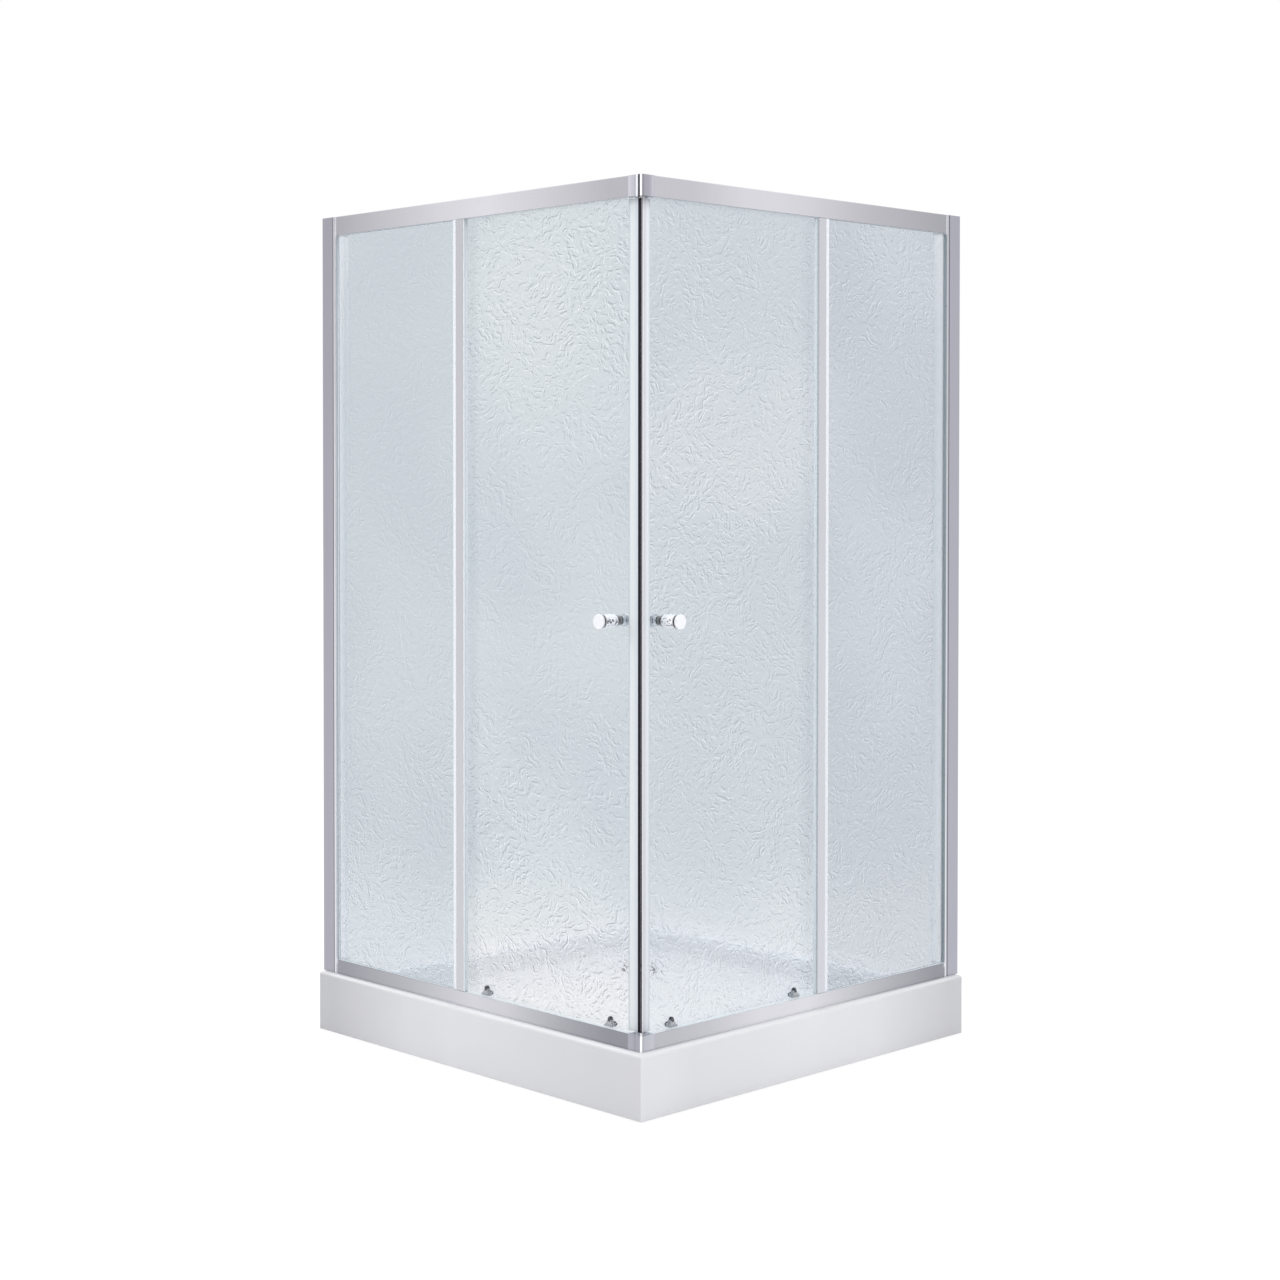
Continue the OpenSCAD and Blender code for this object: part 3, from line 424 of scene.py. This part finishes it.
def bark(g, spot):
    """Height of the pressed relief: thin, short ridges that wander and break off."""
    bend = g.put("ShaderNodeTexNoise", Vector=spot, Scale=24.0, Detail=1.0)
    where = shifted(g, spot, bend.outputs["Color"], 0.020)
    height = 0.0
    for scale, width, cut, tall in ((44.0, 0.13, 0.40, 1.0), (63.0, 0.14, 0.43, 0.9), (96.0, 0.16, 0.46, 0.65)):
        fold = g.math("ABSOLUTE", g.math("SUBTRACT", g.noise(where, scale, 0, 0), 0.5))
        ridge = g.span(fold, 0.0, width, tall, 0.0)
        kept = g.span(g.noise(where, scale * 0.75, 0, 0), cut, cut + 0.09)
        height = g.math("MAXIMUM", height, g.math("MULTIPLY", ridge, kept))
    return height


def over(r, g, b):
    """The tint of the glass that makes the backdrop behind it look like this sRGB colour."""
    return tuple(min(1, c / d) for c, d in zip(linear(r, g, b), BACKDROP))


def clear_glass(g, tint, roughness, normal):
    """Glass that lets all light through, tinted and more or less rough."""
    shader = g.put("ShaderNodeBsdfPrincipled", Base_Color=tint, Roughness=roughness, Normal=normal)
    shader.inputs["Transmission Weight"].default_value = 1.0
    shader.inputs["IOR"].default_value = GLASS_IOR
    return shader.outputs[0]


def glass(name, side, door):
    """Bark-textured toughened glass. The relief is pressed into the outer face."""
    front = side == "front"
    mat, g, out = surface(name)
    seed = Vector((0, 0, 0) if front else (3.1, 1.7, 5.3))
    spot = g.place((1, 1, 1.15), seed)
    # Painted highlight and painted shade: each ridge's lit and shaded flanks are painted from the relief and the same
    # relief a short step lower and aside
    aside = g.span(g.noise(spot, 9.0, 0), 0.35, 0.65, -0.0018, 0.0018, False)
    step = g.put("ShaderNodeCombineXYZ", Z=-0.0019, **{"X" if front else "Y": aside}).outputs[0]
    relief = bark(g, spot)
    slope = g.math("SUBTRACT", relief, bark(g, shifted(g, spot, step)))
    across = facing(g)[1 if front else 0]
    edge = g.math("LESS_THAN", g.math("ABSOLUTE", across), 0.5)
    backfacing = g.put("ShaderNodeNewGeometry").outputs["Backfacing"]
    turned = g.math("MULTIPLY", across, g.span(backfacing, 0.0, 1.0, 1.0, -1.0, False))
    outer = g.math("LESS_THAN", turned, -0.5) if front else g.math("GREATER_THAN", turned, 0.5)
    z = split(g)[2]
    low = g.span(z, 0.15, 0.46, 1.0, 0.0)  # the panes are painted paler near the tray, painted light from the white tray behind them
    cloud = g.noise(g.place((1, 1, 1), seed), 2.4, 1)
    plain, bright, base = {
        (True, True): ((204, 213, 219), (213, 220, 225), (230, 235, 238)),
        (True, False): ((201, 210, 216), (206, 215, 220), (210, 218, 223)),
        (False, True): ((205, 213, 219), (213, 219, 224), (219, 225, 229)),
        (False, False): ((198, 205, 212), (204, 211, 218), (202, 208, 214))}[(front, door)]
    body = g.mix(g.span(cloud, 0.35, 0.68), over(*plain), over(*bright))
    # painted highlight: a paler patch high on the front door
    if door and front:
        away = g.vector("DISTANCE", g.place(), (0.16, -0.46, 1.60))
        body = g.mix(g.span(away, 0.05, 0.32, 0.6, 0.0), body, over(224, 230, 233))
    body = g.mix(low, body, over(*base))
    painted_lit = g.span(slope, 0.08, 0.7)
    painted_dark = g.span(slope, -0.08, -0.7)
    swell = g.span(g.noise(g.place((1, 1, 1), seed * 2), 3.1, 1), 0.35, 0.65, 0.7, 1.0)
    level = g.ramp(g.math("DIVIDE", z, 2.0), {
        (True, True): [(0.3, 1.0), (0.42, 0.5), (0.55, 0.5), (0.75, 0.97)],
        (True, False): [(0.15, 0.85), (0.35, 0.6), (0.6, 0.45), (0.8, 0.35)],
        (False, True): [(0.2, 0.9), (0.45, 0.95), (0.85, 0.68)],
        (False, False): [(0.2, 0.92), (0.5, 0.70), (0.85, 0.75)]}[(front, door)])
    rich = g.math("MULTIPLY", swell, level)
    # painted shade on each ridge's shaded flank
    body = g.mix(g.math("MULTIPLY", painted_dark, g.math("MULTIPLY", rich, 0.66)), body, over(142, 152, 160))
    painted_light_share = g.math("MULTIPLY", painted_lit, g.math("MULTIPLY", rich, 0.45))
    if not door:  # painted light: a fixed pane is painted paler in a strip beside its jamb, over the jamb's shade seen through it
        beside = g.ramp(g.span(along(g, side), 0.90, 0.95, 0.0, 1.0, False),
                        [(0.29, 0.0), (0.33, 0.21), (0.46, 0.23), (0.55, 0.19), (0.66, 0.27), (0.80, 0.32),
                         (0.88, 0.42)] if front else
                        [(0.29, 0.0), (0.33, 0.20), (0.45, 0.25), (0.56, 0.29), (0.68, 0.33), (0.85, 0.36)])
        painted_light_share = g.math("MAXIMUM", painted_light_share, beside)
    # The outer face alone carries the tint, squared because a face lets through the root of its colour
    whole = g.vector("MULTIPLY", body, body)
    body = g.mix(edge, g.mix(outer, WHITE, whole), linear(120, 160, 152))
    normal = g.bump(relief, 1.0, g.math("MULTIPLY", outer, 0.0001))
    rough_normal = g.bump(relief, 1.0, g.math("MULTIPLY", outer, 0.0004))
    haze = g.shaders(g.math("MULTIPLY", outer, HAZE), clear_glass(g, body, 0.02, normal),
                     clear_glass(g, body, 0.30, rough_normal))
    # the lit flanks, and the strip by a fixed pane's jamb, take a share of white diffuse: painted highlight
    crest = g.put("ShaderNodeBsdfDiffuse", Color=(0.92, 0.93, 0.94, 1), Normal=rough_normal)
    ridges = g.shaders(g.math("MULTIPLY", painted_light_share, outer), haze, crest.outputs[0])
    path = g.put("ShaderNodeLightPath").outputs
    clear = g.put("ShaderNodeBsdfTransparent", Color=linear(246, 249, 250))
    direct = g.math("MAXIMUM", path["Is Shadow Ray"], path["Is Diffuse Ray"])
    g.feed(out, "Surface", g.shaders(direct, ridges, clear.outputs[0]))
    return mat


def wood(name):
    """A bare board with slightly wavy growth rings."""
    mat, g, out = surface(name)
    rings = g.put("ShaderNodeTexWave", {"wave_type": "RINGS"}, Vector=g.place((1, 7, 7)), Scale=3.0, Distortion=6.0)
    colour = g.ramp(rings.outputs["Fac"], [(0.0, linear(176, 138, 96)), (1.0, linear(205, 172, 128))])
    fine = g.noise(g.place((20, 300, 300)), 1.0, 3)
    shader = g.put("ShaderNodeBsdfPrincipled", Base_Color=colour, Roughness=0.7, Normal=g.bump(fine, 0.4, 0.0003))
    g.feed(out, "Surface", shader.outputs[0])
    return mat


M = {
    "acrylic": principled("moulded_acrylic", linear(231, 231, 234), roughness=0.16, spread=0.012,
                          grain=(9, 9, 9), bump=0.0004, coat=0.3, tone=skirt),
    # The two jambs are lit and shaded copies of one aluminium: the side one is painted darker, painted shade
    "front_jamb": principled("bright_aluminium", linear(220, 219, 225),
                             all_but(lambda g: entry_face(g, "front")), 0.24, 0.02,
                             grain=BRUSHED_UP, bump=0.00003, paint=front_jamb_paint),
    "side_jamb": principled("bright_aluminium_side", linear(186, 185, 196), 1.0, 0.24, 0.02,
                            grain=BRUSHED_UP, bump=0.00003, paint=side_jamb_paint),
    # The caps carry painted reflections: bright and dark lines across the corner
    "cap_top": principled("cast_cap_top", linear(206, 205, 212), bright_lines, 0.2, 0.02, grain=POLISHED,
                          paint=corner_lines((
                              (-37, (214, 213, 222)), (-30, (216, 214, 224)), (-26, (204, 204, 213)),
                              (-20, (203, 203, 212)), (-18.1, (186, 188, 196)), (-16, (207, 209, 216)),
                              (-14.2, (207, 209, 216)), (-14, (240, 241, 247)), (-10.8, (240, 241, 247)),
                              (-9.6, (52, 54, 62)), (-4.7, (52, 54, 62)), (-3.7, (252, 252, 253)),
                              (-0.5, (252, 252, 253)), (0.8, (164, 164, 173)), (3.5, (157, 157, 166)),
                              (9, (171, 170, 180)), (20, (176, 174, 184)), (26, (190, 188, 198)),
                              (30, (203, 203, 212)), (35, (194, 195, 203))))),
    "cap_bottom": principled("cast_cap_bottom", linear(206, 205, 212), bright_lines, 0.2, 0.02, grain=POLISHED,
                             paint=corner_lines((
                                 (-40, (150, 151, 161)), (-36, (156, 157, 166)), (-33, (168, 169, 178)),
                                 (-28, (170, 171, 180)), (-22, (166, 167, 176)), (-15, (158, 159, 168)),
                                 (-4.5, (153, 154, 162)), (-3.2, (153, 154, 162)), (-2.3, (250, 251, 252)),
                                 (2.3, (250, 251, 252)), (3.2, (186, 187, 193)), (6, (176, 178, 184)),
                                 (10, (185, 186, 194)), (24, (189, 190, 198)), (32, (193, 194, 202)),
                                 (36, (186, 187, 196))))),
    "chrome": principled("chrome", linear(238, 239, 242), 1.0, 0.05, 0.01, grain=POLISHED),
    "drain": principled("drain_chrome", linear(238, 239, 242), 1.0, 0.1, 0.01, grain=POLISHED, paint=dished),
    "zinc": principled("zinc_plate", linear(190, 193, 197), 1.0, 0.3, 0.05, grain=(150, 150, 150), bump=0.00005),
    "seal": principled("soft_white_pvc", linear(214, 219, 225), roughness=0.32, spread=0.01, bump=0.00005),
    "bead": principled("white_bead", linear(226, 229, 234), roughness=0.28, spread=0.01, bump=0.00005),
    "magnet": principled("magnet_strip", linear(30, 28, 36), roughness=0.6, spread=0.06, bump=0.00005, specular=0.12),
    "rubber": principled("black_rubber", linear(38, 38, 42), roughness=0.62, spread=0.1, bump=0.0001),
    "spring": principled("spring_steel", linear(176, 178, 182), 1.0, 0.22, 0.05, grain=(900, 900, 900),
                         bump=0.00001),
    "nylon": principled("nylon", linear(232, 231, 226), roughness=0.42, spread=0.02, bump=0.00005),
    "white": principled("white_plastic", linear(225, 226, 228), roughness=0.4, spread=0.02, bump=0.00008),
    "black": principled("black_plastic", linear(36, 36, 39), roughness=0.5, spread=0.06, bump=0.00015),
    "powder": principled("powder_coat", linear(96, 99, 104), roughness=0.55, spread=0.05, grain=(500, 500, 500),
                         bump=0.0001),
    "wood": wood("bare_board"),
}
for side in SIDES:
    # The front and side copies of the wall profile, gasket and stile differ in brightness: painted light and shade
    # between the two sides
    M[f"{side}_wall"] = principled(f"satin_aluminium_{side}_wall",
                                   linear(172, 171, 181) if side == "front" else linear(178, 178, 189),
                                   1.0, 0.34, 0.02, grain=BRUSHED_UP, bump=0.00003)
    M[f"{side}_fixed_glass"] = glass(f"{side}_fixed_glass", side, False)
    M[f"{side}_door_glass"] = glass(f"{side}_door_glass", side, True)
    M[f"{side}_gasket"] = principled(f"{side}_grey_gasket", linear(165, 172, 179) if side == "front" else
                                     linear(128, 138, 145), gasket_glint(side), 0.3, 0.06,
                                     bump=0.00005, paint=gasket_paint(side))
    M[f"{side}_seal"] = principled(f"{side}_soft_pvc", linear(214, 219, 225), roughness=0.32, spread=0.01,
                                   bump=0.00005, paint=seal_paint(side))
    M[f"{side}_stile"] = principled(f"{side}_stile_aluminium",
                                    linear(202, 202, 208) if side == "front" else linear(208, 210, 216),
                                    all_but(lambda g, side=side: entry_face(g, side)),
                                    0.28, 0.02, grain=BRUSHED_UP, bump=0.00003, paint=stile_paint(side))
    M[f"{side}_knob"] = principled(f"{side}_knob_chrome", linear(238, 239, 242), 0.4, 0.08, 0.01,
                                   grain=POLISHED, paint=knob_paint(side))
    M[f"{side}_button"] = principled(f"{side}_release_plastic", linear(70, 72, 78), roughness=0.45, spread=0.04,
                                     bump=0.00008, paint=button_paint)
    M[f"{side}_holder"] = principled(f"{side}_holder_chrome", linear(178, 180, 184), 1.0, 0.2, 0.03,
                                     paint=holder_paint(side))
# Each rail is painted darker towards its ends and brighter at places along it, towards a dark blue: painted shade and
# painted reflection
for rail, stops in {
        "front_top": ((0.10, 0.63), (0.20, 0.73), (0.45, 0.97), (0.60, 0.88), (0.80, 0.69), (0.95, 0.54)),
        "side_top": ((0.15, 0.72), (0.30, 0.88), (0.40, 0.89), (0.50, 0.83), (0.70, 0.64), (0.94, 0.50)),
        "front_bottom": ((0.10, 0.33), (0.20, 0.44), (0.40, 0.74), (0.50, 0.80), (0.70, 0.57), (0.92, 0.38)),
        "side_bottom": ((0.10, 0.59), (0.20, 0.66), (0.35, 0.85), (0.50, 0.87), (0.70, 0.61), (0.92, 0.36))}.items():
    low, hidden = rail.endswith("bottom"), inner_face(rail.split("_")[0])
    M[rail] = principled(f"satin_aluminium_{rail}", linear(232, 231, 237), all_but(hidden) if low else 1.0,
                         0.30, 0.02, grain=BRUSHED_LEVEL, bump=0.00002, tone=lengthwise(*stops),
                         deep=(0.026, 0.036, 0.059, 1), paint=pale_where(hidden) if low else None)

FINISH = {
    "tray": "acrylic", "tray_board": "wood", "tray_frame": "powder", "foot_rods": "zinc", "foot_pads": "black",
    "drain_flange": "drain", "drain_cover": "chrome", "drain_gasket": "rubber", "drain_trap": "white",
    "corner_cap_top": "cap_top", "corner_cap_bottom": "cap_bottom", "frame_screws": "zinc", "door_stops": "rubber",
    "stile_seals": "bead",
}
for side in SIDES:
    FINISH.update({f"{side}_{n}": m for n, m in {
        "wall_profile": f"{side}_wall", "jamb_profile": f"{side}_jamb",
        "top_rail": f"{side}_top", "bottom_rail": f"{side}_bottom",
        "fixed_glass": f"{side}_fixed_glass", "door_glass": f"{side}_door_glass", "gasket": f"{side}_gasket",
        "stile": f"{side}_stile",
        "door_lead_seal": f"{side}_seal", "door_rear_seal": "seal", "door_magnet": "magnet",
        "door_knob_outer": f"{side}_knob", "door_knob_inner": "chrome", "door_hangers": "zinc",
        "door_holders": f"{side}_holder", "spring_lead": "zinc", "spring_trail": "zinc",
        "release_lead": f"{side}_button", "release_trail": f"{side}_button",
        "top_wheel_lead": "nylon", "top_wheel_trail": "nylon", "low_wheel_lead": "nylon", "low_wheel_trail": "nylon",
    }.items()})
for name, obj in nodes.items():
    mat = M[FINISH[name]]
    if not obj.material_slots:
        obj.data.materials.append(mat)
    for slot in obj.material_slots:
        slot.material = mat


# Return springs, coils that ride with their door


def coil(name, low, high, radius, wire, turns):
    """A compression spring around the z axis, with closed and ground ends."""
    centre = ((low[0] + high[0]) / 2, (low[1] + high[1]) / 2)
    bottom, top = low[2] + wire, high[2] - wire
    steps, ring = 28 * turns, 10  # points along the wire and around it
    flat = 0.75  # turns that lie closed at each end
    nest = 0.35 * wire  # how far a closed end climbs
    path = []
    for i in range(steps + 1):
        turn = turns * i / steps
        rise = min(max((turn - flat) / (turns - 2 * flat), 0), 1)
        close = nest * (min(turn, flat) + max(turn - turns + flat, 0)) / flat
        angle = 2 * math.pi * turn
        z = bottom + close + (top - bottom - 2 * nest) * rise
        path.append((Vector((centre[0] + radius * math.cos(angle), centre[1] + radius * math.sin(angle), z)),
                     Vector((math.cos(angle), math.sin(angle), 0))))
    bm = bmesh.new()
    loops = []
    for point, out in path:
        loops.append([bm.verts.new(point + wire * (out * math.cos(a) + Vector((0, 0, math.sin(a)))))
                      for a in (2 * math.pi * j / ring for j in range(ring))])
    for first, second in zip(loops, loops[1:]):
        for j in range(ring):
            k = (j + 1) % ring
            bm.faces.new((first[j], second[j], second[k], first[k]))
    bm.faces.new(loops[0])
    bm.faces.new(reversed(loops[-1]))
    bmesh.ops.recalc_face_normals(bm, faces=bm.faces)
    mesh = bpy.data.meshes.new(name)
    bm.to_mesh(mesh)
    bm.free()
    for face in mesh.polygons:
        face.use_smooth = len(face.vertices) == 4
    mesh.materials.append(M["spring"])
    obj = bpy.data.objects.new(name, mesh)
    scene.collection.objects.link(obj)
    return obj


for side in SIDES:
    for end in ("lead", "trail"):
        low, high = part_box(f"{side}_spring_{end}")
        piece = coil(f"{side}_{end}_return_spring", low, high, 0.0019, 0.0003, 6)
        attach(piece, f"{side}_door")
        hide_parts(f"{side}_spring_{end}")
        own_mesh(piece)


# Studio


def path_seen(g):
    """1 for what the camera sees directly, in a reflection or through glass."""
    p = g.put("ShaderNodeLightPath").outputs
    return g.math("MAXIMUM", g.math("MAXIMUM", p["Is Camera Ray"], p["Is Glossy Ray"]), p["Is Transmission Ray"])


def build_world():
    """A white studio that reflects as soft bands around the horizon and shows grey through the glass."""
    world = bpy.data.worlds.new("studio")
    scene.world = world
    world.use_nodes = True
    g = Graph(world.node_tree)
    out = g.put("ShaderNodeOutputWorld")
    direction = g.put("ShaderNodeTexCoord").outputs["Generated"]
    x, y, z = split(g, direction)
    turn = g.math("DIVIDE", g.math("ADD", g.math("ARCTAN2", y, x), math.pi), 2 * math.pi)
    bands = g.ramp(turn, [((degrees + 180) / 360, level) for degrees, level in (
        (-180, 0.9), (-135, 1.0), (-105, 0.72), (-70, 0.42), (-54, 0.22), (-50, 1.0), (-40, 1.0), (-36, 0.3),
        (-18, 0.5), (10, 0.8), (43, 1.0), (100, 0.86), (180, 0.82))])
    above = g.span(z, 0.3, 0.55)
    mirror = g.mix(above, bands, (1.2, 1.2, 1.2, 1))
    p = g.put("ShaderNodeLightPath").outputs
    colour = g.mix(p["Is Glossy Ray"], (0.62, 0.62, 0.635, 1), mirror)
    colour = g.mix(p["Is Transmission Ray"], colour, BACKDROP)
    colour = g.mix(p["Is Camera Ray"], colour, WHITE)
    back = g.put("ShaderNodeBackground", Color=colour, Strength=1.0)
    g.feed(out, "Surface", back.outputs[0])


def build_floor():
    """A wide floor that takes soft shadows beside the tray and is plain white further out."""
    mesh = bpy.data.meshes.new("floor")
    r = 30  # half its width, in metres
    mesh.from_pydata([(-r, -r, 0), (r, -r, 0), (r, r, 0), (-r, r, 0)], [], [(0, 1, 2, 3)])
    floor = bpy.data.objects.new("floor", mesh)
    scene.collection.objects.link(floor)
    mat, g, out = surface("floor")
    dull = g.put("ShaderNodeBsdfDiffuse", Color=(0.86, 0.86, 0.86, 1))
    through = g.put("ShaderNodeLightPath").outputs["Is Transmission Ray"]
    strength = 1.07
    glow = g.put("ShaderNodeEmission", Color=g.mix(through, WHITE, tuple(c / strength for c in BACKDROP)),
                 Strength=strength)
    far = g.span(g.vector("LENGTH", g.place()), 1.0, 3.0, 0.80, 1.0)
    g.feed(out, "Surface", g.shaders(g.math("MULTIPLY", path_seen(g), far), dull.outputs[0], glow.outputs[0]))
    mesh.materials.append(mat)


def area_light(name, place, aim, width, height, watts):
    """A soft light that lights the part but is never seen itself."""
    data = bpy.data.lights.new(name, "AREA")
    data.shape = "RECTANGLE"
    data.size, data.size_y, data.energy = width, height, watts
    obj = bpy.data.objects.new(name, data)
    scene.collection.objects.link(obj)
    obj.location = place
    obj.rotation_euler = (Vector(aim) - Vector(place)).to_track_quat("-Z", "Y").to_euler()
    obj.visible_glossy = obj.visible_transmission = obj.visible_camera = False


def build_camera():
    """The photo's camera, but for a slight tilt that stands in for part of its shift."""
    data = bpy.data.cameras.new("camera")
    data.lens, data.sensor_width, data.sensor_fit = 62.539, 36, "HORIZONTAL"
    data.shift_x, data.shift_y = 0.0574, -0.0905
    data.clip_end = 200
    obj = bpy.data.objects.new("camera", data)
    scene.collection.objects.link(obj)
    obj.location = (3.43161, -3.46186, 1.20927)
    obj.rotation_euler = (math.radians(88.9), 0, math.radians(46.636))
    scene.camera = obj


build_world()
build_floor()
build_camera()
area_light("key", (3.4, -1.2, 3.4), (0, 0, 0.9), 2.6, 2.6, 85)
area_light("fill", (-1.4, -3.8, 2.6), (0, 0, 0.9), 2.6, 2.6, 60)
area_light("back", (-2.8, 2.8, 3.0), (0, 0, 0.8), 2.4, 2.4, 36)
area_light("top", (-0.1, 0.1, 3.9), (-0.1, 0.1, 0), 1.4, 1.4, 50)
